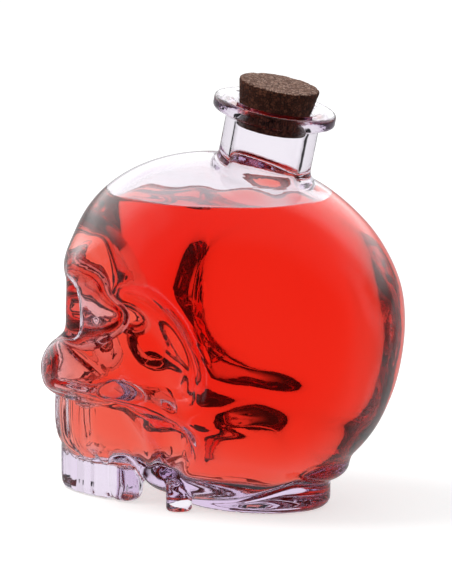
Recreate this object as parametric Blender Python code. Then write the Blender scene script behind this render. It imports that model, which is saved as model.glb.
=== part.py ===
"""A glass bottle in the shape of a skull without its lower jaw, filled and corked.

Metres, +Z up. The face looks toward -Y and the skull's left side is at +X. The origin is the
middle of the foot's underside. The bottle stands on z = 0, on its foot, the two knobs beside
it and its teeth. The neck leans to the back.
"""

import math

import bmesh
import bpy
from mathutils import Matrix, Vector

MM = 0.001
MERGE_DISTANCE = 0.001 * MM

# Skull, whose three sizes carry every blended form below
SKULL_WIDTH = 82 * MM
SKULL_LENGTH = 108 * MM
SKULL_HEIGHT = 105.5 * MM
SKULL_ADVANCE = 6 * MM
GLASS_WALL = 3.2 * MM

# Forms that swell out of the skull: middle and half size as shares of its width, length, height
CRANIUM_MIDDLE_SHARES = (0, 0, 0.603)
CRANIUM_HALF_SHARES = (0.5, 0.5, 0.388)
CRANIUM_TILT = math.radians(-15.5)
BOWL_MIDDLE_SHARES = (0, 0.05, 0.37)
BOWL_HALF_SHARES = (0.44, 0.39, 0.325)
UNDERSIDE_MIDDLE_SHARES = (0, -0.02, 0.16)
UNDERSIDE_HALF_SHARES = (0.3, 0.25, 0.14)
FACE_MIDDLE_SHARES = (0, -0.235, 0.52)
FACE_HALF_SHARES = (0.385, 0.235, 0.22)
MUZZLE_MIDDLE_SHARES = (0, -0.36, 0.375)
MUZZLE_HALF_SHARES = (0.2, 0.16, 0.15)
BROW_MIDDLE_SHARES = (0.18, -0.34, 0.685)
BROW_HALF_SHARES = (0.235, 0.1, 0.075)
BROW_TURN = math.radians(14)
CHEEK_MIDDLE_SHARES = (0.33, -0.348, 0.395)
CHEEK_HALF_SHARES = (0.135, 0.122, 0.11)
SOCKET_RIM_MIDDLE_SHARES = (0.355, -0.28, 0.57)
SOCKET_RIM_HALF_SHARES = (0.095, 0.1, 0.18)
NOSE_MIDDLE_SHARES = (0, -0.435, 0.55)
NOSE_HALF_SHARES = (0.085, 0.085, 0.14)
NOSE_TILT = math.radians(-8)
JAW_MIDDLE_SHARES = (0, -0.315, 0.235)
JAW_HALF_SHARES = (0.255, 0.218, 0.14)
CHEEK_ARCH_MIDDLE_SHARES = (0.38, -0.13, 0.33)
CHEEK_ARCH_HALF_SHARES = (0.065, 0.25, 0.03)
CHEEK_ARCH_TILT = math.radians(-8)
NAPE_RIDGE_MIDDLE_SHARES = (0, 0.28, 0.12)
NAPE_RIDGE_HALF_SHARES = (0.13, 0.045, 0.035)

# Forms that are scooped out of it, in the same shares
SOCKET_MIDDLE_SHARES = (0.235, -0.49, 0.563)
SOCKET_HALF_SHARES = (0.15, 0.2, 0.102)
SOCKET_TURN = math.radians(18)
NOSTRIL_MIDDLE_SHARES = (0.035, -0.545, 0.345)
NOSTRIL_HALF_SHARES = (0.05, 0.11, 0.065)
NOSE_TOP_MIDDLE_SHARES = (0, -0.545, 0.4)
NOSE_TOP_HALF_SHARES = (0.045, 0.1, 0.075)
UNDER_CHEEK_MIDDLE_SHARES = (0.45, -0.37, 0.19)
UNDER_CHEEK_HALF_SHARES = (0.185, 0.185, 0.15)
TEMPLE_MIDDLE_SHARES = (0.56, -0.1065, 0.475)
TEMPLE_HALF_SHARES = (0.225, 0.14, 0.21)
TEMPLE_TILT = math.radians(39)
JAW_HOLLOW_MIDDLE_SHARES = (0.43, -0.1, 0.17)
JAW_HOLLOW_HALF_SHARES = (0.17, 0.12, 0.09)
JAW_HOLLOW_TILT = math.radians(50)

# How square a form is: 2 is round, more is boxier
ROUND = 2
SOFT_SQUARE = 2.4
BOXY = 4

# Foot, knobs and ground
FOOT_WIDTH = 38 * MM
FOOT_LENGTH = 48 * MM
FOOT_HEIGHT = 13 * MM
FOOT_ROUND = 3.5 * MM
KNOB_DIAMETER = 7.8 * MM
KNOB_HEIGHT = 9 * MM
KNOB_ROUND = 1.2 * MM
KNOB_SPREAD = 42 * MM
KNOB_ADVANCE = 8.5 * MM

# Teeth, which are solid glass
ARCH_HALF_WIDTH = 19.5 * MM
ARCH_LENGTH = 37.4 * MM
ARCH_BACK = 21.5 * MM
ARCH_SWEEP = math.radians(70)
FRONT_TEETH = 10
STEPS_PER_TOOTH = 4
TOOTH_HEIGHT = 16 * MM
TOOTH_DEPTH = 9 * MM
TOOTH_GROOVE = 0.7 * MM
TOOTH_ROUND = 1.2 * MM
MOLAR_WIDTH = 9.6 * MM
MOLAR_LENGTH = 9.8 * MM
MOLAR_TURN = math.radians(6)
MOLAR_SPREAD = 31 * MM
ROOT_DIAMETER = 4.6 * MM
ROOT_DEPTH = 3.2 * MM

# Neck and mouth, turned about an axis that leans to the back
NECK_LEAN = math.radians(12)
NECK_SETBACK = 13.2 * MM
NECK_HEIGHT = 16 * MM
NECK_DIAMETER = 28 * MM
NECK_ROOT = 14 * MM
NECK_BLEND_DIAMETER = 26.6 * MM
NECK_BLEND_HEIGHT = 14 * MM
FLANGE_DIAMETER = 36.8 * MM
FLANGE_HEIGHT = 5.6 * MM
FLANGE_ROUND = 1.8 * MM
FLANGE_FLARE = 3 * MM
MOUTH_DIAMETER = 27.6 * MM
MOUTH_DEPTH = 4.5 * MM
BORE_DIAMETER = 21 * MM
BORE_DEPTH = 34 * MM
ROUND_STEPS = 3
EDGE_STEPS = 2
EDGE_PROFILE_SHARE = 0.5

# Cork
CORK_TOP_DIAMETER = 24.6 * MM
CORK_CLEARANCE = 0.3 * MM
CORK_PROUD = 6.3 * MM
CORK_INSIDE = 7.5 * MM
CORK_EDGE = 0.7 * MM

# Contents
AIR_HEIGHT = 11 * MM
LIQUID_GAP = 0.35 * MM

# Fineness
OUTSIDE_VOXEL = 1.2 * MM
INSIDE_VOXEL = 1.4 * MM
BLEND_PASSES = 14
OUTSIDE_PASSES = 5
INSIDE_PASSES = 8
OUTSIDE_KEEP_SHARE = 0.075
INSIDE_KEEP_SHARE = 0.062
SPHERE_DETAIL = 5
TURN_STEPS = 44
KNOB_STEPS = 20
OVERRUN = 12 * MM
SHADE_ANGLE = math.radians(40)

# Materials: colour, roughness and how much light passes
GLASS_COLOUR = (0.9, 0.88, 0.92)
GLASS_ROUGHNESS = 0.03
LIQUID_COLOUR = (0.8, 0.02, 0.01)
LIQUID_ROUGHNESS = 0.05
CORK_COLOUR = (0.19, 0.095, 0.055)
CORK_ROUGHNESS = 0.85
SEE_THROUGH = 1
OPAQUE = 0


def clear_scene():
    """Remove every object that the scene starts with."""
    for thing in list(bpy.data.objects):
        bpy.data.objects.remove(thing, do_unlink=True)


def make_object(name, mesh_builder):
    """Turn a bmesh into an object of the scene."""
    bmesh.ops.recalc_face_normals(mesh_builder, faces=mesh_builder.faces)
    mesh = bpy.data.meshes.new(name)
    mesh_builder.to_mesh(mesh)
    mesh_builder.free()
    thing = bpy.data.objects.new(name, mesh)
    bpy.context.scene.collection.objects.link(thing)
    return thing


def hide_cutter(thing):
    """Keep a shape that only cuts or joins out of the finished model."""
    thing.hide_render = True
    thing.display_type = "WIRE"
    return thing


def combine(thing, other, operation):
    """Add a Boolean that joins, cuts or intersects with another shape."""
    modifier = thing.modifiers.new(operation.lower() + "_" + other.name, "BOOLEAN")
    modifier.operation = operation
    modifier.object = other
    modifier.solver = "EXACT"
    return modifier


def skull_size(shares, inset=0.0):
    """Turn shares of the skull into a form's half size, smaller all round by the inset."""
    width_share, length_share, height_share = shares
    return Vector((
        width_share * SKULL_WIDTH - inset,
        length_share * SKULL_LENGTH - inset,
        height_share * SKULL_HEIGHT - inset,
    ))


def skull_place(shares, side=1):
    """Turn shares of the skull into a place, on its left or its right side."""
    place = skull_size(shares)
    return Vector((side * place.x, place.y - SKULL_ADVANCE, place.z))


def add_form(builder, middle, half_size, square=(ROUND, ROUND), tilt=0.0, turn=0.0):
    """Add one rounded form: a sphere swelled toward a box, scaled, tilted about X, turned about Z."""
    plan_power, upright_power = square
    made = bmesh.ops.create_icosphere(builder, subdivisions=SPHERE_DETAIL, radius=1)
    place = Matrix.Translation(middle) @ Matrix.Rotation(turn, 4, "Z") @ Matrix.Rotation(tilt, 4, "X")
    for vertex in made["verts"]:
        x, y, z = vertex.co
        plan = (abs(x) ** plan_power + abs(y) ** plan_power) ** (1 / plan_power)
        swell = (plan ** upright_power + abs(z) ** upright_power) ** (-1 / upright_power)
        swollen = Vector((x * half_size.x, y * half_size.y, z * half_size.z)) * swell
        vertex.co = place @ swollen


def add_pair(builder, middle_shares, half_size, square=(ROUND, ROUND), tilt=0.0, turn=0.0):
    """Add the same form on the left and the right side of the skull."""
    for side in (-1, 1):
        add_form(builder, skull_place(middle_shares, side), half_size, square, tilt, side * turn)


def swollen_forms(inset):
    """The forms that make the skull, each one smaller all round by the inset."""
    builder = bmesh.new()
    soft = (SOFT_SQUARE, SOFT_SQUARE)
    flat_ended = (SOFT_SQUARE, BOXY)
    cranium = skull_size(CRANIUM_HALF_SHARES, inset)
    add_form(builder, skull_place(CRANIUM_MIDDLE_SHARES), cranium, tilt=CRANIUM_TILT)
    add_form(builder, skull_place(BOWL_MIDDLE_SHARES), skull_size(BOWL_HALF_SHARES, inset))
    underside = skull_size(UNDERSIDE_HALF_SHARES, inset)
    add_form(builder, skull_place(UNDERSIDE_MIDDLE_SHARES), underside, flat_ended)
    add_form(builder, skull_place(FACE_MIDDLE_SHARES), skull_size(FACE_HALF_SHARES, inset), soft)
    add_form(builder, skull_place(MUZZLE_MIDDLE_SHARES), skull_size(MUZZLE_HALF_SHARES, inset), soft)
    add_form(builder, skull_place(NOSE_MIDDLE_SHARES), skull_size(NOSE_HALF_SHARES, inset), tilt=NOSE_TILT)
    add_form(builder, skull_place(JAW_MIDDLE_SHARES), skull_size(JAW_HALF_SHARES, inset), flat_ended)
    add_pair(builder, BROW_MIDDLE_SHARES, skull_size(BROW_HALF_SHARES, inset), turn=BROW_TURN)
    add_pair(builder, CHEEK_MIDDLE_SHARES, skull_size(CHEEK_HALF_SHARES, inset))
    return builder


def side_scoops(name, growth, voxel):
    """The hollows behind and below the cheekbones, each one larger all round by the growth."""
    builder = bmesh.new()
    temple = skull_size(TEMPLE_HALF_SHARES, -growth)
    add_pair(builder, TEMPLE_MIDDLE_SHARES, temple, tilt=TEMPLE_TILT)
    jaw_hollow = skull_size(JAW_HOLLOW_HALF_SHARES, -growth)
    add_pair(builder, JAW_HOLLOW_MIDDLE_SHARES, jaw_hollow, tilt=JAW_HOLLOW_TILT)
    scoops = hide_cutter(make_object(name, builder))
    melt(scoops, voxel)
    return scoops


def face_scoops(name, growth, voxel):
    """The sockets, the nose and the hollows under the cheeks, each larger all round by the growth."""
    builder = bmesh.new()
    add_pair(builder, SOCKET_MIDDLE_SHARES, skull_size(SOCKET_HALF_SHARES, -growth), turn=SOCKET_TURN)
    add_pair(builder, NOSTRIL_MIDDLE_SHARES, skull_size(NOSTRIL_HALF_SHARES, -growth))
    add_form(builder, skull_place(NOSE_TOP_MIDDLE_SHARES), skull_size(NOSE_TOP_HALF_SHARES, -growth))
    add_pair(builder, UNDER_CHEEK_MIDDLE_SHARES, skull_size(UNDER_CHEEK_HALF_SHARES, -growth))
    scoops = hide_cutter(make_object(name, builder))
    melt(scoops, voxel)
    return scoops


def cheek_arches():
    """The thin arch that runs back from each cheekbone, between the two hollows of its side."""
    builder = bmesh.new()
    add_pair(builder, CHEEK_ARCH_MIDDLE_SHARES, skull_size(CHEEK_ARCH_HALF_SHARES), tilt=CHEEK_ARCH_TILT)
    return hide_cutter(make_object("cheek_arches", builder))


def melt(thing, voxel):
    """Melt overlapping forms into one skin."""
    modifier = thing.modifiers.new("melt", "REMESH")
    modifier.mode = "VOXEL"
    modifier.voxel_size = voxel
    return modifier


def soften(thing, passes):
    """Let the forms of a melted skin flow into each other."""
    modifier = thing.modifiers.new("soften", "SMOOTH")
    modifier.iterations = passes
    return modifier


def thin_out(thing, keep_share):
    """Leave only the faces that the skin's curves need."""
    modifier = thing.modifiers.new("thin_out", "DECIMATE")
    modifier.ratio = keep_share
    return modifier


def arch_point(angle, depth):
    """A point of the dental arch, by its angle from the middle and its depth behind the face."""
    return Vector((
        (ARCH_HALF_WIDTH - depth) * math.sin(angle),
        -SKULL_ADVANCE - ARCH_BACK - (ARCH_LENGTH - depth) * math.cos(angle),
        0,
    ))


def skull_outside():
    """The skull's outer skin with the round where the neck grows out of it."""
    builder = swollen_forms(0)
    add_pair(builder, SOCKET_RIM_MIDDLE_SHARES, skull_size(SOCKET_RIM_HALF_SHARES))
    add_form(builder, skull_place(NAPE_RIDGE_MIDDLE_SHARES), skull_size(NAPE_RIDGE_HALF_SHARES))
    neck_root = neck_place() @ Vector((0, 0, -NECK_HEIGHT))
    blend = Vector((NECK_BLEND_DIAMETER, NECK_BLEND_DIAMETER, NECK_BLEND_HEIGHT)) / 2
    add_form(builder, neck_root, blend, (ROUND, BOXY), tilt=-NECK_LEAN)
    skin = make_object("glass_bottle", builder)
    melt(skin, OUTSIDE_VOXEL)
    soften(skin, BLEND_PASSES)
    combine(skin, side_scoops("side_scoops", 0, OUTSIDE_VOXEL), "DIFFERENCE")
    combine(skin, cheek_arches(), "UNION")
    combine(skin, face_scoops("face_scoops", 0, OUTSIDE_VOXEL), "DIFFERENCE")
    melt(skin, OUTSIDE_VOXEL)
    soften(skin, OUTSIDE_PASSES)
    thin_out(skin, OUTSIDE_KEEP_SHARE)
    return skin


def skull_inside(name):
    """The skin of the hollow, one wall inside the skull, with a lobe at the root of each tooth."""
    builder = swollen_forms(GLASS_WALL)
    root = Vector((ROOT_DIAMETER / 2, ROOT_DIAMETER / 2, ROOT_DEPTH + ROOT_DIAMETER / 2))
    jaw_floor = (JAW_MIDDLE_SHARES[2] - JAW_HALF_SHARES[2]) * SKULL_HEIGHT + GLASS_WALL
    root_height = Vector((0, 0, jaw_floor + ROOT_DIAMETER / 2))
    for tooth in range(FRONT_TEETH):
        angle = ARCH_SWEEP * (2 * (tooth + 0.5) / FRONT_TEETH - 1)
        add_form(builder, arch_point(angle, TOOTH_DEPTH / 2) + root_height, root)
    skin = make_object(name, builder)
    melt(skin, INSIDE_VOXEL)
    soften(skin, BLEND_PASSES)
    combine(skin, side_scoops(name + "_side_scoops", GLASS_WALL, INSIDE_VOXEL), "DIFFERENCE")
    combine(skin, face_scoops(name + "_face_scoops", GLASS_WALL, INSIDE_VOXEL), "DIFFERENCE")
    melt(skin, INSIDE_VOXEL)
    soften(skin, INSIDE_PASSES)
    thin_out(skin, INSIDE_KEEP_SHARE)
    return skin


def raise_outline(builder, outline, height, edge_round):
    """Raise a flat outline into a solid whose lower edge is rounded."""
    face = builder.faces.new(outline)
    lower_edges = list(builder.edges)
    grown = bmesh.ops.extrude_face_region(builder, geom=[face], use_keep_orig=True)
    raised = [item for item in grown["geom"] if isinstance(item, bmesh.types.BMVert)]
    bmesh.ops.translate(builder, verts=raised, vec=(0, 0, height))
    bmesh.ops.recalc_face_normals(builder, faces=builder.faces)
    bmesh.ops.bevel(
        builder, geom=lower_edges, offset=edge_round, segments=EDGE_STEPS, profile=EDGE_PROFILE_SHARE,
        affect="EDGES",
    )


def raise_oval(name, middle, width, length, height, edge_round, steps):
    """An oval pillar from the ground, with a rounded lower edge and a flat underside."""
    builder = bmesh.new()
    outline = []
    for step in range(steps):
        angle = 2 * math.pi * step / steps
        spot = middle + Vector((width / 2 * math.cos(angle), length / 2 * math.sin(angle), 0))
        outline.append(builder.verts.new(spot))
    raise_outline(builder, outline, height, edge_round)
    return hide_cutter(make_object(name, builder))


def foot():
    """The oval foot, whose top is buried in the wall of the skull."""
    middle = Vector((0, 0, 0))
    return raise_oval("foot", middle, FOOT_WIDTH, FOOT_LENGTH, FOOT_HEIGHT, FOOT_ROUND, TURN_STEPS)


def knob(side):
    """One of the two pegs that steady the bottle beside its foot."""
    middle = Vector((side * KNOB_SPREAD / 2, -SKULL_ADVANCE - KNOB_ADVANCE, 0))
    name = "knob_left" if side > 0 else "knob_right"
    return raise_oval(name, middle, KNOB_DIAMETER, KNOB_DIAMETER, KNOB_HEIGHT, KNOB_ROUND, KNOB_STEPS)


def front_teeth():
    """The horseshoe of front teeth: a scalloped outline raised from the ground into the jaw."""
    builder = bmesh.new()
    outline = []
    steps = FRONT_TEETH * STEPS_PER_TOOTH
    for step in range(steps + 1):
        angle = ARCH_SWEEP * (2 * step / steps - 1)
        groove = TOOTH_GROOVE * abs(math.cos(math.pi * step / STEPS_PER_TOOTH)) ** BOXY
        outline.append(builder.verts.new(arch_point(angle, groove)))
    for step in range(steps, -1, -STEPS_PER_TOOTH // 2):
        angle = ARCH_SWEEP * (2 * step / steps - 1)
        outline.append(builder.verts.new(arch_point(angle, TOOTH_DEPTH)))
    raise_outline(builder, outline, TOOTH_HEIGHT, TOOTH_ROUND)
    return hide_cutter(make_object("front_teeth", builder))


def molar(side):
    """One rounded back tooth, with its crown on the ground."""
    builder = bmesh.new()
    half_size = Vector((MOLAR_WIDTH, MOLAR_LENGTH, TOOTH_HEIGHT)) / 2
    middle_y = arch_point(ARCH_SWEEP, 0).y + MOLAR_LENGTH / 2
    middle = Vector((side * MOLAR_SPREAD / 2, middle_y, TOOTH_HEIGHT / 2))
    made = bmesh.ops.create_cube(builder, size=2)
    bmesh.ops.subdivide_edges(builder, edges=list(builder.edges), cuts=4, use_grid_fill=True)
    turn = Matrix.Rotation(-side * MOLAR_TURN, 4, "Z")
    for vertex in builder.verts:
        x, y, z = vertex.co.normalized()
        plan = (abs(x) ** SOFT_SQUARE + abs(y) ** SOFT_SQUARE) ** (1 / SOFT_SQUARE)
        swell = (plan ** BOXY + abs(z) ** BOXY) ** (-1 / BOXY)
        vertex.co = middle + turn @ Vector((x * half_size.x, y * half_size.y, z * half_size.z)) * swell
    return hide_cutter(make_object("molar_left" if side > 0 else "molar_right", builder))


def neck_place():
    """The middle of the rim, with the neck's axis as Z."""
    rim = Vector((0, NECK_SETBACK - SKULL_ADVANCE, SKULL_HEIGHT + NECK_HEIGHT))
    return Matrix.Translation(rim) @ Matrix.Rotation(-NECK_LEAN, 4, "X")


def turned(name, profile):
    """A solid turned about Z from a profile of radius and height, closed on the axis at both ends."""
    builder = bmesh.new()
    points = [builder.verts.new((radius, 0, height)) for radius, height in profile]
    edges = [builder.edges.new(pair) for pair in zip(points, points[1:])]
    bmesh.ops.spin(
        builder, geom=points + edges, cent=(0, 0, 0), axis=(0, 0, 1), angle=2 * math.pi, steps=TURN_STEPS,
        use_merge=True,
    )
    bmesh.ops.remove_doubles(builder, verts=builder.verts, dist=MERGE_DISTANCE)
    return make_object(name, builder)


def arc(centre, radius, start, end):
    """Points of an arc between two angles, as radius and height."""
    points = []
    for step in range(ROUND_STEPS + 1):
        angle = start + (end - start) * step / ROUND_STEPS
        points.append((centre[0] + radius * math.cos(angle), centre[1] + radius * math.sin(angle)))
    return points


def neck_outside():
    """The turned neck and its flared, rounded flange."""
    neck = NECK_DIAMETER / 2
    flange = FLANGE_DIAMETER / 2
    profile = [(0, 0)]
    profile += arc((flange - FLANGE_ROUND, -FLANGE_ROUND), FLANGE_ROUND, math.pi / 2, 0)
    profile += arc((flange - FLANGE_ROUND, FLANGE_ROUND - FLANGE_HEIGHT), FLANGE_ROUND, 0, -math.pi / 4)
    flare = (neck + FLANGE_FLARE, -FLANGE_HEIGHT - FLANGE_FLARE)
    profile += arc(flare, FLANGE_FLARE, math.pi * 3 / 4, math.pi)
    profile += [(neck, -NECK_HEIGHT - NECK_ROOT), (0, -NECK_HEIGHT - NECK_ROOT)]
    outside = turned("neck", profile)
    outside.matrix_world = neck_place()
    return hide_cutter(outside)


def neck_bore():
    """The bore, with a funnel at the mouth, which opens the hollow to the air."""
    bore = BORE_DIAMETER / 2
    mouth = MOUTH_DIAMETER / 2
    profile = [(0, OVERRUN), (mouth, OVERRUN)]
    for step in range(ROUND_STEPS + 1):
        angle = math.pi / 2 * step / ROUND_STEPS
        profile.append((mouth - (mouth - bore) * math.sin(angle), MOUTH_DEPTH * (math.cos(angle) - 1)))
    profile += [(bore, -BORE_DEPTH), (0, -BORE_DEPTH)]
    cutter = turned("bore", profile)
    cutter.matrix_world = neck_place()
    return hide_cutter(cutter)


def shade(thing):
    """Shade the round faces smooth and keep the sharp edges."""
    thing.data.shade_smooth()
    thing.data.set_sharp_from_angle(angle=SHADE_ANGLE)


def finish_material(thing, name, colour, roughness, transmission):
    """Give a piece its own plain material."""
    material = bpy.data.materials.new(name)
    material.use_nodes = True
    shader = material.node_tree.nodes["Principled BSDF"]
    shader.inputs["Base Color"].default_value = (*colour, 1)
    shader.inputs["Roughness"].default_value = roughness
    shader.inputs["Metallic"].default_value = 0
    shader.inputs["Transmission Weight"].default_value = transmission
    thing.data.materials.append(material)


def glass_bottle():
    """The moulded glass: skull, neck, foot, knobs and teeth in one, hollowed from the mouth."""
    bottle = skull_outside()
    combine(bottle, foot(), "UNION")
    combine(bottle, front_teeth(), "UNION")
    for side in (-1, 1):
        combine(bottle, molar(side), "UNION")
        combine(bottle, knob(side), "UNION")
    combine(bottle, neck_outside(), "UNION")
    combine(bottle, hide_cutter(skull_inside("hollow")), "DIFFERENCE")
    combine(bottle, neck_bore(), "DIFFERENCE")
    shade(bottle)
    finish_material(bottle, "clear_glass", GLASS_COLOUR, GLASS_ROUGHNESS, SEE_THROUGH)
    return bottle


def red_liquid():
    """The contents, which fill the hollow up to a level surface below the neck."""
    liquid = skull_inside("red_liquid")
    shrink = liquid.modifiers.new("shrink", "DISPLACE")
    shrink.strength = -LIQUID_GAP
    shrink.mid_level = 0
    builder = bmesh.new()
    level = SKULL_HEIGHT - AIR_HEIGHT
    size = Matrix.Diagonal((SKULL_WIDTH + OVERRUN, 2 * SKULL_LENGTH, SKULL_HEIGHT, 1))
    place = Matrix.Translation((0, 0, level + SKULL_HEIGHT / 2))
    bmesh.ops.create_cube(builder, size=1, matrix=place @ size)
    combine(liquid, hide_cutter(make_object("above_level", builder)), "DIFFERENCE")
    shade(liquid)
    finish_material(liquid, "red_drink", LIQUID_COLOUR, LIQUID_ROUGHNESS, SEE_THROUGH)
    return liquid


def cork_stopper():
    """The tapered cork, turned on the neck's axis, its end in the bore and its top proud of the rim."""
    top = CORK_TOP_DIAMETER / 2
    end = BORE_DIAMETER / 2 - CORK_CLEARANCE
    profile = [
        (0, CORK_PROUD),
        (top - CORK_EDGE, CORK_PROUD),
        (top, CORK_PROUD - CORK_EDGE),
        (end, -MOUTH_DEPTH),
        (end, CORK_EDGE - CORK_INSIDE),
        (end - CORK_EDGE, -CORK_INSIDE),
        (0, -CORK_INSIDE),
    ]
    cork = turned("cork_stopper", profile)
    cork.matrix_world = neck_place()
    shade(cork)
    finish_material(cork, "cork", CORK_COLOUR, CORK_ROUGHNESS, OPAQUE)
    return cork


def build():
    """Model the whole bottle."""
    clear_scene()
    glass_bottle()
    red_liquid()
    cork_stopper()


build()
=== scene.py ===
"""The looks of a corked glass bottle in the shape of a skull, filled with a red drink."""

import math

import bpy
import numpy as np
from mathutils import Matrix, Vector, noise


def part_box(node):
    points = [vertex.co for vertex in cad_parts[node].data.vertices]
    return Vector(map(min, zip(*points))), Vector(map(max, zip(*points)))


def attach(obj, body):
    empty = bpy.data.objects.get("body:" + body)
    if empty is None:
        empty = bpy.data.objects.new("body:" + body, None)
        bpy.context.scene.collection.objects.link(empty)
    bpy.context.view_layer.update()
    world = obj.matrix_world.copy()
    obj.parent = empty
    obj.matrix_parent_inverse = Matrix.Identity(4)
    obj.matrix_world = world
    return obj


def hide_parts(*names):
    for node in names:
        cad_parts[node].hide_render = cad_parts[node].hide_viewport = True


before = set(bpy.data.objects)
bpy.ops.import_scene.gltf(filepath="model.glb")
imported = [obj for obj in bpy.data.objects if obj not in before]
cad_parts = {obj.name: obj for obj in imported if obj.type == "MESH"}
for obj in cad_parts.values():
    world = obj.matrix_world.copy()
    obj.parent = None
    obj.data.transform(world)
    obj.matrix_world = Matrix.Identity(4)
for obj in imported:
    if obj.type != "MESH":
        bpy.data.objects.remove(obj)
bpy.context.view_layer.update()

# Lengths are in millimetres here and become metres when a mesh or object is made
MM = 0.001

# Skull, as the solid has it
SKULL = np.array((82, 108, 105.5))
SKULL_ADVANCE = 6
GLASS_WALL = 3.2
BOTH_SIDES = (-1, 1)

# Squareness of a form in plan and upright: 2 is round, and more is squarer
ROUND = (2, 2)
SOFT = (2.4, 2.4)
BLOCK = (2.4, 4)
TOOTH = (4, 6)

# Forms that swell out: middle and half size as shares of the skull, and how wide a fillet blends
# them in. The cranium comes first and has none
CRANIUM = ((0, -0.0022, 0.603), (0.4985, 0.4962, 0.388))
BOWL = ((0, 0.05, 0.37), (0.44, 0.39, 0.325), 11)
UNDERSIDE = ((0, -0.02, 0.16), (0.3, 0.25, 0.14), 5)
UNDERSIDE_INSIDE = ((0, -0.02, 0.19), (0.28, 0.23, 0.13), 5)
FACE = ((0, -0.235, 0.52), (0.385, 0.235, 0.22), 8)
MUZZLE = ((0, -0.36, 0.375), (0.2, 0.16, 0.15), 6)
JAW = ((0, -0.315, 0.235), (0.255, 0.218, 0.14), 5)
BROW = ((0.18, -0.34, 0.685), (0.235, 0.1, 0.075), 5)
CHEEK = ((0.33, -0.348, 0.395), (0.135, 0.122, 0.11), 5)
NOSE = ((0, -0.435, 0.55), (0.085, 0.085, 0.14), 4)
SOCKET_RIM = ((0.355, -0.28, 0.57), (0.095, 0.1, 0.18), 5)
NAPE_RIDGE = ((0, 0.28, 0.12), (0.13, 0.045, 0.035), 4)
CHEEK_ARCH = ((0.38, -0.13, 0.33), (0.065, 0.25, 0.03), 4)
CRANIUM_TILT = math.radians(-15.5)
BROW_TURN = math.radians(14)
NOSE_TILT = math.radians(-8)
CHEEK_ARCH_TILT = math.radians(-8)

# Forms that are cut out, in the same terms
TEMPLE = ((0.56, -0.1065, 0.475), (0.225, 0.14, 0.21), 4)
JAW_HOLLOW = ((0.43, -0.1, 0.17), (0.17, 0.12, 0.09), 3)
SOCKET = ((0.235, -0.49, 0.563), (0.145, 0.2, 0.102), 3)
NOSTRIL = ((0.035, -0.545, 0.345), (0.05, 0.11, 0.065), 2)
NOSE_TOP = ((0, -0.545, 0.4), (0.045, 0.1, 0.075), 2)
UNDER_CHEEK = ((0.45, -0.37, 0.19), (0.185, 0.185, 0.15), 3)
TEMPLE_TILT = math.radians(39)
JAW_HOLLOW_TILT = math.radians(50)
SOCKET_TURN = math.radians(18)

# Foot and knobs
FOOT_HALF = (19, 24)
FOOT_HEIGHT = 13
FOOT_ROUND = 3
FOOT_BLEND = 1.5
PUSH_UP = 2.2
PUSH_UP_SHARE = 0.6
BEARING_SHARES = (0.62, 0.9)
KNURLS = 44
KNURL_DEPTH = 0.55
KNOB_RADIUS = 3.9
KNOB_HEIGHT = 9
KNOB_ROUND = 0.9
KNOB_PLACE = (21, -8.5)
KNOB_BLEND = 0.8

# Teeth, which stand on an oval arch, and the lobes and swells at their roots
ARCH_HALF_WIDTH = 19.5
ARCH_LENGTH = 37.2
ARCH_BACK = 21.5
ARCH_SWEEP = math.radians(70)
FRONT_TEETH = 10
TOOTH_HEIGHT = 16
TOOTH_DEPTH = 9
TOOTH_OVERLAP = 0.25
TOOTH_BLEND = 2.4
MOLAR_HALF = (4.8, 4.9, 8)
MOLAR_SPREAD = 31
MOLAR_TURN = math.radians(6)
MOLAR_BLEND = 0.6
GUM_BLEND = 1.2
ROOT_HALF = (2.3, 2.3, 5.5)
ROOT_BLEND = 1.5
ROOT_SWELL = 1.0
ROOT_SWELL_HEIGHT = 25
ROOT_SWELL_REACH = 9

# Neck, in its own frame: Z runs up the neck from the middle of the rim
NECK_LEAN = math.radians(12)
NECK_SETBACK = 13.2
NECK_HEIGHT = 16
NECK_RADIUS = 14
NECK_ROOT = 14
NECK_SINK = 1
NECK_EDGE = 0.5
NECK_BLEND = 3
FLANGE_RADIUS = 18.4
FLANGE_HEIGHT = 3.8
FLANGE_ROUND = 1.0
FLANGE_BLEND = 2.5
MOUTH_RADIUS = 13.8
MOUTH_DEPTH = 4.5
MOUTH_EDGE = 0.8
BORE_RADIUS = 10.5
BORE_DEPTH = 34
BORE_BLEND = 3.5

# Contents, which reach a little into the glass so that no air shows between them
LIQUID_LEVEL = 91.8
LIQUID_OVERLAP = 0.12
LIQUID_EDGE = 1.2
MENISCUS_RISE = 0.8
MENISCUS_REACH = 1.1

# Waves that the mould and the blowing leave in the glass
OUTSIDE_WAVE = 0.07
INSIDE_WAVE = 0.3
INSIDE_SHIFT = 9
WAVE_LENGTHS = (31, 37, 27)
WAVE_QUICKENING = (1.3, 1.4, 1.7)
WAVE_BEND = 2

# Cork: its shape, its granules as large as real ones, pits and a crumbled edge. Its grain is
# coarser than real cork cells, which are too fine to show
CORK_TOP_RADIUS = 12.25
CORK_PROUD = 6.25
CORK_INSIDE = 7.45
CORK_END_RADIUS = 10.15
CORK_EDGE = 0.8
CORK_GRANULE = 1.1
CORK_GRAIN = 0.5
PIT_DEPTH = 0.14
FINE_PIT_SHARE = 0.6
FINE_PITS_PER_GRANULE = 2
CRUMB_GRANULES = 2.2
CRUMB_DEPTH = 0.9
CRUMB_REACH = 0.9
WORKED_SKIN = 2
# Faces that look this squarely along the neck take the cork's paler copy, which is painted light from above;
# the darker rest is painted shade
CORK_PAINTED_LIGHT_SLOPE = 0.75

# Cork's colouring: how far its granules differ, where its browns, glue lines and pores lie in
# their patterns, and its relief
GRANULE_SHARE = 0.35
TONE_PLACES = (0.28, 0.5, 0.72)
GLUE_SHARE = 0.12
PORE_LIMITS = (0.36, 0.46)
PORE_DEPTH = 0.3
PORE_STRENGTH = 0.6

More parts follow.
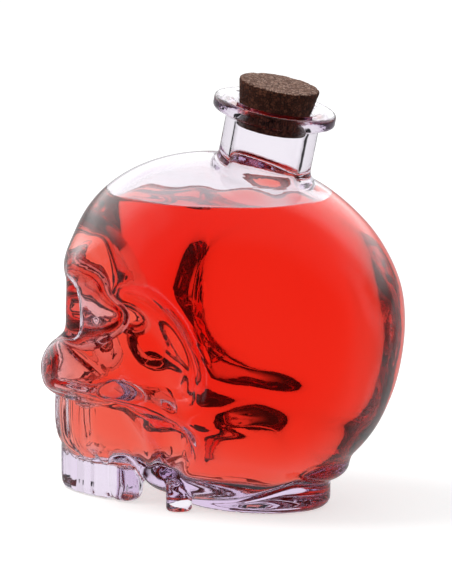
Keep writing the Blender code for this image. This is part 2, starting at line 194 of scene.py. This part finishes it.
# What a metre of glass and of drink swallows of red, green and blue light, as exponents, and the
# density at which the material states it
GLASS_SWALLOWS = (6.96, 12.0, 5.04)
GLASS_DENSITY = 12.0
DRINK_SWALLOWS = (0.5, 57.5, 72.0)
DRINK_DENSITY = 100.0

# Fineness of the meshes, and how their corners are brought onto the surface
GLASS_STEP = 0.8
CORK_STEP = 0.4
COARSE = 3
NEAR_SHARE = 1.5
MARGIN = 2.1
SETTLE_PASSES = 3
PROBE = 0.05
LEAST_STEEPNESS = 0.2
LONGEST_MOVE = 0.4

# What keeps divisions off nought
TINY = 1e-5
LEAST_FOOT_SLOPE = 1e-3

# Photograph: the camera's place and the frame that it fills
CAMERA_AZIMUTH = math.radians(117)
CAMERA_ELEVATION = math.radians(10)
CAMERA_DISTANCE = 1400
CAMERA_SEES_TO = 50000
SENSOR_HEIGHT = 36
IMAGE_WIDTH = 452
IMAGE_HEIGHT = 584
PIXEL = 0.30
AIM_HEIGHT = 55
AIM_PIXEL = (254, 322)

# Studio floor and lamp, with the lamp's place and size in metres
FLOOR_REACH = 6000
FLOOR_GAP = 0.2
FLOOR_GLOW = 0.6
LAMP_SIZE = 0.7
LAMP_POWER = 6.5
LAMP_PLACE = (0.3, -0.6, 1.0)

# The room that glass shows. Lights are strengths, where one is white. A pair is where a soft edge
# starts and ends, as how far a direction points to the photographed side, sideways or upward
SOFT_LIGHT = 0.5
PALE_WALL = 0.9
OUTSIDE_WALL = 0.5
DARK_ROOM = 0.05
SOFTBOX = 2.6
DARK_SIDE = (0.35, 0.65)
DARK_INSIDE = (-0.1, 0.2)
DIM_ABOVE = (0.6, 0.9)
CARD_INNER = (0.74, 0.8)
CARD_OUTER = (0.92, 0.98)
CARD_TOP = (0.2, 0.35)
SOFTBOX_BOTTOM = (0.05, 0.3)
SOFTBOX_FRONT = (-0.35, -0.05)
PHOTOGRAPHED_SIDE = (math.sin(CAMERA_AZIMUTH), -math.cos(CAMERA_AZIMUTH), 0)
SIDEWAYS = (math.cos(CAMERA_AZIMUTH), math.sin(CAMERA_AZIMUTH), 0)
UPWARD = (0, 0, 1)

# Places of a Mix node's colour sockets, whose names its other sockets have too
MIX_FIRST_COLOUR = 6
MIX_SECOND_COLOUR = 7
MIX_COLOUR = 2


def linear(hex_colour):
    """A colour written as sRGB hex, as linear red, green and blue and a full alpha."""
    levels = [int(hex_colour[place:place + 2], 16) / 255 for place in (1, 3, 5)]
    return (*(v / 12.92 if v <= 0.04045 else ((v + 0.055) / 1.055) ** 2.4 for v in levels), 1)


def skull_place(shares, side=1):
    """A place in the skull from its shares, on the left or the right side."""
    return np.array(shares) * SKULL * (side, 1, 1) - (0, SKULL_ADVANCE, 0)


def swollen_depth(points, middle, half_size, square=ROUND, tilt=0.0, turn=0.0):
    """How far points lie outside a rounded form, below zero inside."""
    turning = Matrix.Rotation(turn, 3, "Z") @ Matrix.Rotation(tilt, 3, "X")
    local = np.abs((points - np.float32(middle)) @ np.float32(turning)) / np.float32(half_size) + TINY
    plan_power, upright_power = square
    x, y, z = local.T
    plan = (x ** plan_power + y ** plan_power) ** (1 / plan_power)
    reach = (plan ** upright_power + z ** upright_power) ** (1 / upright_power)
    plan_part = (plan / reach) ** (upright_power - 1)
    slope_x = plan_part * (x / plan) ** (plan_power - 1) / half_size[0]
    slope_y = plan_part * (y / plan) ** (plan_power - 1) / half_size[1]
    slope_z = (z / reach) ** (upright_power - 1) / half_size[2]
    return (reach - 1) / np.sqrt(slope_x ** 2 + slope_y ** 2 + slope_z ** 2)


def blend_in(depth, other, blend):
    """Join two depths, with a fillet as wide as the blend."""
    overlap = np.maximum(blend - np.abs(depth - other), 0)
    return np.minimum(depth, other) - overlap ** 2 / (4 * blend)


def cut_out(depth, other, blend):
    """Take the second form out of the first, with a rounded edge."""
    return -blend_in(-depth, other, blend)


def form_depth(points, middle_shares, half_shares, square=ROUND, tilt=0.0, turn=0.0, side=1):
    """The depth of one form of the skull, on the left or the right side."""
    half_size = np.array(half_shares) * SKULL
    return swollen_depth(points, skull_place(middle_shares, side), half_size, square, tilt, side * turn)


def with_form(depth, points, form, square=ROUND, tilt=0.0, turn=0.0, sides=(1,), cut=False):
    """Blend a form of the skull in, or cut it out, on one or both sides."""
    middle_shares, half_shares, blend = form
    join = cut_out if cut else blend_in
    for side in sides:
        other = form_depth(points, middle_shares, half_shares, square, tilt, turn, side)
        depth = join(depth, other, blend)
    return depth


def skull_depth(points, outside):
    """The skull. Its thin ridges are only on its outside, and its inside has a higher floor."""
    depth = form_depth(points, *CRANIUM, tilt=CRANIUM_TILT)
    depth = with_form(depth, points, BOWL)
    depth = with_form(depth, points, UNDERSIDE if outside else UNDERSIDE_INSIDE, BLOCK)
    depth = with_form(depth, points, FACE, SOFT)
    depth = with_form(depth, points, MUZZLE, SOFT)
    depth = with_form(depth, points, JAW, BLOCK)
    depth = with_form(depth, points, BROW, turn=BROW_TURN, sides=BOTH_SIDES)
    depth = with_form(depth, points, CHEEK, sides=BOTH_SIDES)
    depth = with_form(depth, points, NOSE, tilt=NOSE_TILT)
    if outside:
        depth = with_form(depth, points, SOCKET_RIM, sides=BOTH_SIDES)
        depth = with_form(depth, points, NAPE_RIDGE)
    depth = with_form(depth, points, TEMPLE, tilt=TEMPLE_TILT, sides=BOTH_SIDES, cut=True)
    depth = with_form(depth, points, JAW_HOLLOW, tilt=JAW_HOLLOW_TILT, sides=BOTH_SIDES, cut=True)
    if outside:
        depth = with_form(depth, points, CHEEK_ARCH, tilt=CHEEK_ARCH_TILT, sides=BOTH_SIDES)
    depth = with_form(depth, points, SOCKET, turn=SOCKET_TURN, sides=BOTH_SIDES, cut=True)
    depth = with_form(depth, points, NOSTRIL, sides=BOTH_SIDES, cut=True)
    depth = with_form(depth, points, NOSE_TOP, cut=True)
    return with_form(depth, points, UNDER_CHEEK, sides=BOTH_SIDES, cut=True)


def arch_place(angle, depth, height):
    """A place on the dental arch, by its angle from the middle and its depth behind the face."""
    return (
        (ARCH_HALF_WIDTH - depth) * math.sin(angle),
        -SKULL_ADVANCE - ARCH_BACK - (ARCH_LENGTH - depth) * math.cos(angle),
        height,
    )


def front_tooth_angles():
    """The angles of the front teeth round the arch."""
    return [ARCH_SWEEP * (2 * (tooth + 0.5) / FRONT_TEETH - 1) for tooth in range(FRONT_TEETH)]


def teeth_depth(points):
    """The solid teeth: a horseshoe of front teeth and a rounded molar at each end."""
    depth = None
    for angle in front_tooth_angles():
        along = math.hypot(ARCH_HALF_WIDTH * math.cos(angle), ARCH_LENGTH * math.sin(angle))
        half_width = along * ARCH_SWEEP / FRONT_TEETH + TOOTH_OVERLAP
        turn = math.atan2(ARCH_LENGTH * math.sin(angle), ARCH_HALF_WIDTH * math.cos(angle))
        half = (half_width, TOOTH_DEPTH / 2, TOOTH_HEIGHT / 2)
        middle = arch_place(angle, TOOTH_DEPTH / 2, TOOTH_HEIGHT / 2)
        tooth = swollen_depth(points, middle, half, TOOTH, turn=turn)
        depth = tooth if depth is None else blend_in(depth, tooth, TOOTH_BLEND)
    middle_y = arch_place(ARCH_SWEEP, 0, 0)[1] + MOLAR_HALF[1]
    for side in BOTH_SIDES:
        middle = (side * MOLAR_SPREAD / 2, middle_y, MOLAR_HALF[2])
        molar = swollen_depth(points, middle, MOLAR_HALF, BLOCK, turn=-side * MOLAR_TURN)
        depth = blend_in(depth, molar, MOLAR_BLEND)
    return depth


def root_swell(points):
    """Swells of the jaw over the roots of the front teeth, with creases between them."""
    across = np.abs(points[:, 0]) / ARCH_HALF_WIDTH
    ahead = -(points[:, 1] + SKULL_ADVANCE + ARCH_BACK) / ARCH_LENGTH
    angle = np.arctan2(across, ahead)
    swell = 0.5 - 0.5 * np.cos(math.pi * FRONT_TEETH * angle / ARCH_SWEEP)
    upright = np.exp(-((points[:, 2] - ROOT_SWELL_HEIGHT) / ROOT_SWELL_REACH) ** 2)
    return ROOT_SWELL * swell * upright * (angle < ARCH_SWEEP)


def neck_coordinates(points):
    """Radius from the neck's axis and height above its rim."""
    middle = np.float32((0, NECK_SETBACK - SKULL_ADVANCE, SKULL[2] + NECK_HEIGHT))
    axis = np.float32((0, math.sin(NECK_LEAN), math.cos(NECK_LEAN)))
    away = points - middle
    height = away @ axis
    radius = np.sqrt(np.maximum((away ** 2).sum(1) - height ** 2, 0))
    return radius, height


def turned_block(radius, height, outer, low, high, edge_round):
    """The depth of a turned disc or rod with rounded edges."""
    out = radius - outer + edge_round
    up = np.abs(height - (low + high) / 2) - (high - low) / 2 + edge_round
    beyond = np.hypot(np.maximum(out, 0), np.maximum(up, 0))
    return beyond + np.minimum(np.maximum(out, up), 0) - edge_round


def neck_depth(points):
    """The neck with its flared, rounded flange."""
    radius, height = neck_coordinates(points)
    shaft = turned_block(radius, height, NECK_RADIUS, -NECK_HEIGHT - NECK_ROOT, -NECK_SINK, NECK_EDGE)
    flange = turned_block(radius, height, FLANGE_RADIUS, -FLANGE_HEIGHT, 0, FLANGE_ROUND)
    return blend_in(shaft, flange, FLANGE_BLEND)


def bore_depth(points):
    """The bore, with its bell mouth."""
    radius, height = neck_coordinates(points)
    rise = np.clip(1 + height / MOUTH_DEPTH, 0, 1)
    wall = BORE_RADIUS + (MOUTH_RADIUS - BORE_RADIUS) * (1 - np.sqrt(1 - rise ** 2))
    return np.maximum(radius - wall, -BORE_DEPTH - height)


def waves(points):
    """The mean of four slow waves over the glass, alike on both sides."""
    x, y, z = (2 * math.pi * points / np.float32(WAVE_LENGTHS)).T
    quick, quicker, quickest = WAVE_QUICKENING
    leaning = np.sin(x + np.cos(z * quick) + y)
    bent = np.sin(y * quicker + WAVE_BEND * np.cos(np.abs(x)) - z)
    rising = np.cos(z * quickest + y)
    mirrored = np.sin(-x + np.cos(z * quick) + y)
    return (leaning + bent + rising + mirrored) / 4


def hollow_depth(points):
    """The hollow: one wall inside the skull, with a lobe at the root of each tooth."""
    depth = skull_depth(points, outside=False) + GLASS_WALL
    depth = depth + INSIDE_WAVE * waves(points[:, (1, 2, 0)] + INSIDE_SHIFT) - root_swell(points)
    jaw_middle, jaw_half, _ = JAW
    jaw_floor = (jaw_middle[2] - jaw_half[2]) * SKULL[2] + GLASS_WALL
    for angle in front_tooth_angles():
        middle = arch_place(angle, TOOTH_DEPTH / 2, jaw_floor + ROOT_HALF[0])
        depth = blend_in(depth, swollen_depth(points, middle, ROOT_HALF), ROOT_BLEND)
    return depth


def foot_share(points):
    """How far out points lie on the foot's oval: nought in the middle and one at its edge."""
    return np.hypot(points[:, 0] / FOOT_HALF[0], points[:, 1] / FOOT_HALF[1])


def foot_depth(points):
    """The oval foot with its rounded lower edge."""
    share = foot_share(points)
    slope = np.hypot(points[:, 0] / FOOT_HALF[0] ** 2, points[:, 1] / FOOT_HALF[1] ** 2)
    radius = (share - 1) * share / np.maximum(slope, LEAST_FOOT_SLOPE)
    return turned_block(radius, points[:, 2], 0, 0, FOOT_HEIGHT + FOOT_ROUND, FOOT_ROUND)


def ground_height(points):
    """The lowest that the glass reaches: a push-up in the foot and radial knurls on its bearing ring."""
    share = foot_share(points)
    push_up = PUSH_UP * np.maximum(1 - (share / PUSH_UP_SHARE) ** 2, 0)
    angle = np.arctan2(points[:, 1] / FOOT_HALF[1], np.abs(points[:, 0]) / FOOT_HALF[0])
    ring = (share > BEARING_SHARES[0]) & (share < BEARING_SHARES[1])
    knurls = KNURL_DEPTH * (0.5 + 0.5 * np.cos(KNURLS * angle)) * ring
    return push_up + knurls


def glass_depth(points):
    """All of the glass: skull, neck, foot, knobs and teeth, with the hollow and the bore cut out."""
    depth = blend_in(skull_depth(points, outside=True), neck_depth(points), NECK_BLEND)
    depth += OUTSIDE_WAVE * waves(points) - root_swell(points)
    depth = blend_in(depth, foot_depth(points), FOOT_BLEND)
    for side in BOTH_SIDES:
        radius = np.hypot(points[:, 0] - side * KNOB_PLACE[0], points[:, 1] - KNOB_PLACE[1] + SKULL_ADVANCE)
        knob = turned_block(radius, points[:, 2], KNOB_RADIUS, 0, KNOB_HEIGHT, KNOB_ROUND)
        depth = blend_in(depth, knob, KNOB_BLEND)
    depth = blend_in(depth, teeth_depth(points), GUM_BLEND)
    depth = np.maximum(depth, ground_height(points) - points[:, 2])
    hollow = blend_in(hollow_depth(points), bore_depth(points), BORE_BLEND)
    return cut_out(depth, hollow, MOUTH_EDGE)


def liquid_depth(points):
    """The drink: it wets the hollow's wall and stands level, with a rim drawn up the glass."""
    hollow = hollow_depth(points)
    rise = MENISCUS_RISE * np.exp(np.minimum(hollow, 0) / MENISCUS_REACH)
    return cut_out(hollow - LIQUID_OVERLAP, LIQUID_LEVEL + rise - points[:, 2], LIQUID_EDGE)


def cork_depth(points):
    """The tapered stopper, with pits between its granules and a crumbled upper edge."""
    radius, height = neck_coordinates(points)
    rise = np.clip((height + MOUTH_DEPTH) / (MOUTH_DEPTH + CORK_PROUD), 0, 1)
    wall = CORK_END_RADIUS + (CORK_TOP_RADIUS - CORK_END_RADIUS) * rise
    body = turned_block(radius - wall, height, 0, -CORK_INSIDE, CORK_PROUD, CORK_EDGE)
    for spot in np.flatnonzero(np.abs(body) < WORKED_SKIN):
        place = Vector(points[spot].tolist())
        fine_pits = noise.noise(place * (FINE_PITS_PER_GRANULE / CORK_GRANULE))
        pits = noise.noise(place / CORK_GRANULE) + FINE_PIT_SHARE * fine_pits
        crumbs = noise.noise(place / (CRUMB_GRANULES * CORK_GRANULE))
        below_top = math.exp(-abs(height[spot] - CORK_PROUD) / CRUMB_REACH)
        edge = below_top * math.exp(-abs(radius[spot] - wall[spot]) / CRUMB_REACH)
        body[spot] += PIT_DEPTH * max(pits, 0) + CRUMB_DEPTH * edge * max(crumbs, 0)
    return body


def grid_points(ticks):
    """Every point of a grid, from its ticks along X, Y and Z."""
    return np.stack([along.ravel() for along in np.meshgrid(*ticks, indexing="ij")], 1).astype(np.float32)


def depth_grid(depth_of, low, high, step, alike):
    """Depths on a grid, found finely only near the surface, and on one side only where both are alike."""
    if alike:
        low = np.array((step / 2, low[1], low[2]))
    blocks = [int(math.ceil((top - bottom) / step / COARSE)) for bottom, top in zip(low, high)]
    middle = (COARSE - 1) / 2
    ticks = [start + step * (COARSE * np.arange(count) + middle) for start, count in zip(low, blocks)]
    depth = depth_of(grid_points(ticks)).reshape(blocks)
    for axis in range(3):
        depth = np.repeat(depth, COARSE, axis)
    near = np.argwhere(np.abs(depth) < COARSE * step * NEAR_SHARE)
    depth[tuple(near.T)] = depth_of((low + step * near).astype(np.float32))
    if alike:
        depth = np.concatenate((depth[::-1], depth))
        low = low - (step * blocks[0] * COARSE, 0, 0)
    return depth, low


def skin(depth_of, low, high, step, alike=True):
    """Corners and four-sided faces of the surface where a depth is zero."""
    depth, low = depth_grid(depth_of, low, high, step, alike)
    counts = depth.shape
    strides = np.array((counts[1] * counts[2], counts[2], 1))
    total = np.zeros((depth.size, 3))
    number = np.zeros(depth.size)
    faces = []
    for axis in range(3):
        near = np.take(depth, range(counts[axis] - 1), axis)
        far = np.take(depth, range(1, counts[axis]), axis)
        ends = np.argwhere((near < 0) != (far < 0))
        ends = ends[np.all(ends > 0, axis=1)]
        near_depth = near[tuple(ends.T)]
        far_depth = far[tuple(ends.T)]
        crossing = ends.astype(float)
        crossing[:, axis] += near_depth / (near_depth - far_depth)
        second, third = (axis + 1) % 3, (axis + 2) % 3
        cell = ends @ strides
        corners = [
            cell,
            cell - strides[second],
            cell - strides[second] - strides[third],
            cell - strides[third],
        ]
        for corner in corners:
            for across in range(3):
                total[:, across] += np.bincount(corner, crossing[:, across], depth.size)
            number += np.bincount(corner, minlength=depth.size)
        quads = np.stack(corners, 1)
        flipped = near_depth > 0
        quads[flipped] = quads[flipped][:, ::-1]
        faces.append(quads)
    used = np.flatnonzero(number)
    corners = np.float32(low) + step * (total[used] / number[used, None])
    place_of = np.zeros(depth.size, int)
    place_of[used] = np.arange(used.size)
    return corners.astype(np.float32), place_of[np.concatenate(faces)]


def settle(points, depth_of):
    """Move points onto the surface itself, along the steepest way."""
    for _ in range(SETTLE_PASSES):
        depth = depth_of(points)
        slope = np.stack([
            depth_of(points + np.float32(np.eye(3)[axis] * PROBE)) - depth for axis in range(3)
        ], 1) / PROBE
        steep = np.maximum((slope ** 2).sum(1), LEAST_STEEPNESS)
        step = np.clip(depth / steep, -LONGEST_MOVE, LONGEST_MOVE)
        points = points - slope * step[:, None]
    return points


def roomy_box(node):
    """The corners of a solid's box in millimetres, with a margin all round."""
    low, high = (np.array(corner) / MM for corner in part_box(node))
    return low - MARGIN, high + MARGIN


def piece_from(name, corners, faces, material):
    """A smooth object from corners in millimetres."""
    mesh = bpy.data.meshes.new(name)
    mesh.from_pydata((corners * MM).tolist(), [], faces.tolist())
    mesh.validate()
    mesh.shade_smooth()
    mesh.materials.append(material)
    piece = bpy.data.objects.new(name, mesh)
    bpy.context.scene.collection.objects.link(piece)
    return piece


def add_node(owner, kind, settings=None, inputs=None):
    """Add a node to a material or world. An input takes a value, a socket or a node's first output."""
    tree = owner.node_tree
    node = tree.nodes.new("ShaderNode" + kind)
    for name, value in (settings or {}).items():
        setattr(node, name, value)
    for place, value in (inputs or {}).items():
        if isinstance(value, bpy.types.Node):
            value = value.outputs[0]
        if isinstance(value, bpy.types.NodeSocket):
            tree.links.new(value, node.inputs[place])
        else:
            node.inputs[place].default_value = value
    return node


def new_material(name):
    """A material without nodes."""
    material = bpy.data.materials.new(name)
    material.use_nodes = True
    material.node_tree.nodes.clear()
    return material


def clear_body(name, surface_colour, ior, swallows, density):
    """A clear body with a surface as smooth as a mirror, which swallows some light on its way through.
    A grey tint holds back what it mirrors face on, so that the room doesn't wash out the red."""
    material = new_material(name)
    surface = add_node(material, "BsdfPrincipled", inputs={
        "Base Color": linear(surface_colour),
        "Roughness": 0.0,
        "IOR": ior,
        "Specular Tint": linear("#959595"),
        "Transmission Weight": 1.0,
    })
    inside = add_node(material, "VolumeAbsorption", inputs={
        "Color": (*(1 - part / density for part in swallows), 1),
        "Density": density,
    })
    add_node(material, "OutputMaterial", inputs={"Surface": surface, "Volume": inside})
    return material


def soda_lime_glass():
    """Moulded soda-lime glass. The hot mould leaves it clear and smooth, and a trace of the metal
    that takes out its green leaves a faint lilac cast where it is thick."""
    return clear_body("soda_lime_glass", "#FEFDFF", 1.5, GLASS_SWALLOWS, GLASS_DENSITY)


def red_drink():
    """A clear drink with a red dye. Its still surface is smooth, and the dye swallows nearly all
    green and blue within centimetres, so it is bright red where deep and pale where thin."""
    return clear_body("red_drink", "#FFFFFF", 1.34, DRINK_SWALLOWS, DRINK_DENSITY)


def agglomerated_cork(name, tones, fleck):
    """Cork granules pressed and glued: dull, in mottled browns, with dark glue lines and open pores."""
    material = new_material(name)
    place = add_node(material, "TexCoord").outputs["Object"]
    granule = {"Vector": place, "Scale": 1 / (CORK_GRANULE * MM)}
    granules = add_node(material, "TexVoronoi", inputs=granule)
    edges = add_node(material, "TexVoronoi", {"feature": "DISTANCE_TO_EDGE"}, granule)
    grain = add_node(material, "TexNoise", inputs={
        "Vector": place, "Scale": 1 / (CORK_GRAIN * MM), "Detail": 5.0, "Roughness": 0.7,
    }).outputs["Fac"]
    own_share = add_node(material, "SeparateColor", inputs={"Color": granules.outputs["Color"]})
    mottle = add_node(material, "Mix", inputs={"Factor": GRANULE_SHARE, "A": grain, "B": own_share})
    browns = add_node(material, "ValToRGB", inputs={"Fac": mottle})
    browns.color_ramp.elements.new(TONE_PLACES[1])
    for stop, tone_place, tone in zip(browns.color_ramp.elements, TONE_PLACES, tones):
        stop.position = tone_place
        stop.color = linear(tone)
    off_glue = add_node(material, "MapRange", inputs={
        "Value": edges.outputs["Distance"], "From Min": 0.0, "From Max": GLUE_SHARE,
    })
    off_pores = add_node(material, "MapRange", inputs={
        "Value": grain, "From Min": PORE_LIMITS[0], "From Max": PORE_LIMITS[1],
    })
    whole = add_node(material, "Math", {"operation": "MULTIPLY"}, {0: off_glue, 1: off_pores})
    colour = add_node(material, "Mix", {"data_type": "RGBA"}, {
        "Factor": whole, MIX_FIRST_COLOUR: linear(fleck), MIX_SECOND_COLOUR: browns,
    })
    relief = add_node(material, "Bump", inputs={
        "Strength": PORE_STRENGTH, "Distance": PORE_DEPTH * MM, "Height": whole,
    })
    surface = add_node(material, "BsdfPrincipled", inputs={
        "Base Color": colour.outputs[MIX_COLOUR],
        "Roughness": 0.85,
        "Specular IOR Level": 0.25,
        "Normal": relief,
    })
    add_node(material, "OutputMaterial", inputs={"Surface": surface})
    return material


def glass_bottle():
    """The moulded glass."""
    corners, faces = skin(glass_depth, *roomy_box("glass_bottle"), GLASS_STEP)
    piece = piece_from("skull_glass", settle(corners, glass_depth), faces, soda_lime_glass())
    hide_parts("glass_bottle")
    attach(piece, "bottle")


def drink():
    """The contents."""
    corners, faces = skin(liquid_depth, *roomy_box("red_liquid"), GLASS_STEP)
    piece = piece_from("drink", settle(corners, liquid_depth), faces, red_drink())
    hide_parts("red_liquid")
    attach(piece, "bottle")


def cork():
    """The stopper in two copies of one cork: painted shade makes its sides darker and painted light from
    above makes its ends paler, and the ends show the cut granules.
    """
    # The sides' darker browns and fleck are painted shade, and the ends' paler browns and fleck are painted
    # light from above
    sides = agglomerated_cork("agglomerated_cork_painted_shade_side", ("#3A1A10", "#552C1E", "#6E4230"), "#220E08")
    ends = agglomerated_cork("agglomerated_cork_painted_light_end", ("#6E4A3C", "#A07C6C", "#C6A696"), "#3A1E14")
    corners, faces = skin(cork_depth, *roomy_box("cork_stopper"), CORK_STEP, alike=False)
    piece = piece_from("cork", corners, faces, sides)
    piece.data.materials.append(ends)
    axis = Vector((0, math.sin(NECK_LEAN), math.cos(NECK_LEAN)))
    # Faces along the neck take the paler copy with painted light, and the others keep the darker copy with
    # painted shade
    for face in piece.data.polygons:
        face.material_index = int(abs(face.normal.dot(axis)) > CORK_PAINTED_LIGHT_SLOPE)
    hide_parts("cork_stopper")
    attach(piece, "stopper")


def camera():
    """The photograph's camera."""
    level = math.cos(CAMERA_ELEVATION)
    towards = Vector(PHOTOGRAPHED_SIDE) * level + Vector(UPWARD) * math.sin(CAMERA_ELEVATION)
    right = Vector(UPWARD).cross(towards).normalized()
    up = towards.cross(right)
    aim = Vector((0, 0, AIM_HEIGHT))
    aim += right * PIXEL * (IMAGE_WIDTH / 2 - AIM_PIXEL[0])
    aim -= up * PIXEL * (IMAGE_HEIGHT / 2 - AIM_PIXEL[1])
    data = bpy.data.cameras.new("camera")
    data.sensor_fit = "VERTICAL"
    data.sensor_height = SENSOR_HEIGHT
    data.lens = SENSOR_HEIGHT * CAMERA_DISTANCE / (IMAGE_HEIGHT * PIXEL)
    data.clip_end = CAMERA_SEES_TO * MM
    thing = bpy.data.objects.new("camera", data)
    turning = Matrix((right, up, towards)).transposed().to_4x4()
    thing.matrix_world = Matrix.Translation((aim + towards * CAMERA_DISTANCE) * MM) @ turning
    bpy.context.scene.collection.objects.link(thing)
    bpy.context.scene.camera = thing


def from_glass(owner, path):
    """One for a ray that glass has just bent or mirrored, and nought for any other."""
    rays = {0: path.outputs["Is Transmission Ray"], 1: path.outputs["Is Glossy Ray"]}
    return add_node(owner, "Math", {"operation": "MAXIMUM"}, rays)


def room_light(owner, path, direction):
    """How bright the room is along a direction, for rays that glass has bent or mirrored.

    A ray that is only bent meets white paper, with a black card on each side behind the bottle.
    One that is mirrored on the outside meets dim walls with a softbox over their far half, and a
    dark side in front. One that is mirrored inside meets pale walls, a wider dark side, a dark
    ceiling and floor, and the cards.
    """
    unit = add_node(owner, "VectorMath", {"operation": "NORMALIZE"}, {0: direction})
    parts = []
    for axis in (PHOTOGRAPHED_SIDE, SIDEWAYS, UPWARD):
        part = add_node(owner, "VectorMath", {"operation": "DOT_PRODUCT"}, {0: unit, 1: axis})
        parts.append(part.outputs["Value"])
    ahead, across, rising = parts
    wide, steep = (add_node(owner, "Math", {"operation": "ABSOLUTE"}, {0: part}) for part in (across, rising))
    behind = add_node(owner, "Math", {"operation": "LESS_THAN"}, {0: ahead, 1: 0.0})
    entered, mirrored = (
        add_node(owner, "Math", {"operation": "MINIMUM"}, {0: path.outputs[depth], 1: 1.0})
        for depth in ("Transmission Depth", "Glossy Depth")
    )
    soft_edges = (
        (wide, CARD_INNER, (0, 1)),
        (wide, CARD_OUTER, (1, 0)),
        (steep, CARD_TOP, (1, 0)),
        (steep, DIM_ABOVE, (1, 0)),
        (ahead, DARK_SIDE, (1, 0)),
        (ahead, DARK_INSIDE, (1, 0)),
        (ahead, SOFTBOX_FRONT, (1, 0)),
        (rising, SOFTBOX_BOTTOM, (0, 1)),
    )
    card_inner, card_outer, card_top, below_dim, off_side, off_inside, box_front, box_bottom = (
        add_node(owner, "MapRange", {"interpolation_type": "SMOOTHSTEP"}, {
            "Value": part, "From Min": start, "From Max": end, "To Min": before, "To Max": after,
        }) for part, (start, end), (before, after) in soft_edges
    )
    card = entered
    for share in (behind, card_inner, card_outer, card_top):
        card = add_node(owner, "Math", {"operation": "MULTIPLY"}, {0: card, 1: share})
    below_dim, off_inside = (
        add_node(owner, "Mix", inputs={"Factor": entered, "A": 1.0, "B": share})
        for share in (below_dim, off_inside)
    )
    walls = add_node(owner, "Math", {"operation": "MINIMUM"}, {0: off_side, 1: off_inside})
    walls = add_node(owner, "Math", {"operation": "MULTIPLY"}, {0: walls, 1: below_dim})
    softbox = add_node(owner, "Math", {"operation": "MULTIPLY"}, {0: box_front, 1: box_bottom})
    light = add_node(owner, "Mix", inputs={"Factor": softbox, "A": OUTSIDE_WALL, "B": SOFTBOX})
    light = add_node(owner, "Mix", inputs={"Factor": entered, "A": light, "B": PALE_WALL})
    light = add_node(owner, "Mix", inputs={"Factor": walls, "A": DARK_ROOM, "B": light})
    light = add_node(owner, "Mix", inputs={"Factor": mirrored, "A": 1.0, "B": light})
    return add_node(owner, "Mix", inputs={"Factor": card, "A": light, "B": 0.0})


def floor_paper():
    """Matt white paper. The eye sees it white with the bottle's shadow, and glass shows the room there."""
    paper = new_material("floor_paper")
    path = add_node(paper, "LightPath")
    eye = path.outputs["Is Camera Ray"]
    glow_share = add_node(paper, "Math", {"operation": "MULTIPLY"}, {0: eye, 1: FLOOR_GLOW})
    glow = add_node(paper, "Emission", inputs={"Color": linear("#FFFFFF"), "Strength": glow_share})
    matt = add_node(paper, "BsdfDiffuse", inputs={"Color": linear("#E7E7E7")})
    lit = add_node(paper, "AddShader", inputs={0: glow, 1: matt})
    place = add_node(paper, "NewGeometry").outputs["Position"]
    middle = (0, 0, AIM_HEIGHT * MM)
    direction = add_node(paper, "VectorMath", {"operation": "SUBTRACT"}, {0: place, 1: middle})
    room = add_node(paper, "Emission", inputs={
        "Color": linear("#FFFFFF"), "Strength": room_light(paper, path, direction),
    })
    shown = add_node(paper, "MixShader", inputs={0: from_glass(paper, path), 1: lit, 2: room})
    add_node(paper, "OutputMaterial", inputs={"Surface": shown})
    return paper


def surround():
    """A white surround for the eye, soft light on what is matt, and the room for what glass shows."""
    world = bpy.data.worlds.new("studio")
    bpy.context.scene.world = world
    world.use_nodes = True
    world.node_tree.nodes.clear()
    path = add_node(world, "LightPath")
    direction = add_node(world, "TexCoord").outputs["Generated"]
    plain = add_node(world, "Math", {"operation": "MULTIPLY_ADD"}, {
        0: path.outputs["Is Diffuse Ray"], 1: SOFT_LIGHT, 2: path.outputs["Is Camera Ray"],
    })
    light = add_node(world, "Mix", inputs={
        "Factor": from_glass(world, path), "A": plain, "B": room_light(world, path, direction),
    })
    background = add_node(world, "Background", inputs={"Color": linear("#FFFFFF"), "Strength": light})
    add_node(world, "OutputWorld", inputs={"Surface": background})


def paper_floor():
    """The sheet of paper that the bottle stands on."""
    edge = FLOOR_REACH * MM
    mesh = bpy.data.meshes.new("floor")
    corners = [(-edge, -edge, 0), (edge, -edge, 0), (edge, edge, 0), (-edge, edge, 0)]
    mesh.from_pydata(corners, [], [(0, 1, 2, 3)])
    mesh.materials.append(floor_paper())
    floor = bpy.data.objects.new("floor", mesh)
    floor.location.z = -FLOOR_GAP * MM
    bpy.context.scene.collection.objects.link(floor)


def soft_lamp():
    """A soft lamp overhead, which glass doesn't show."""
    data = bpy.data.lights.new("overhead", "AREA")
    data.size = LAMP_SIZE
    data.energy = LAMP_POWER
    lamp = bpy.data.objects.new("overhead", data)
    lamp.location = LAMP_PLACE
    lamp.rotation_euler = Vector(LAMP_PLACE).to_track_quat("Z", "Y").to_euler()
    lamp.visible_glossy = False
    lamp.visible_transmission = False
    bpy.context.scene.collection.objects.link(lamp)


def studio():
    """Floor, lamp and surround, with enough bounces for light to cross both walls of the glass."""
    paper_floor()
    surround()
    soft_lamp()
    scene = bpy.context.scene
    scene.view_settings.view_transform = "Standard"
    scene.cycles.max_bounces = 32
    scene.cycles.transmission_bounces = 24
    scene.cycles.glossy_bounces = 16
    scene.cycles.volume_bounces = 4


def build():
    """The bottle's three pieces, the camera and the studio."""
    glass_bottle()
    drink()
    cork()
    camera()
    studio()


build()
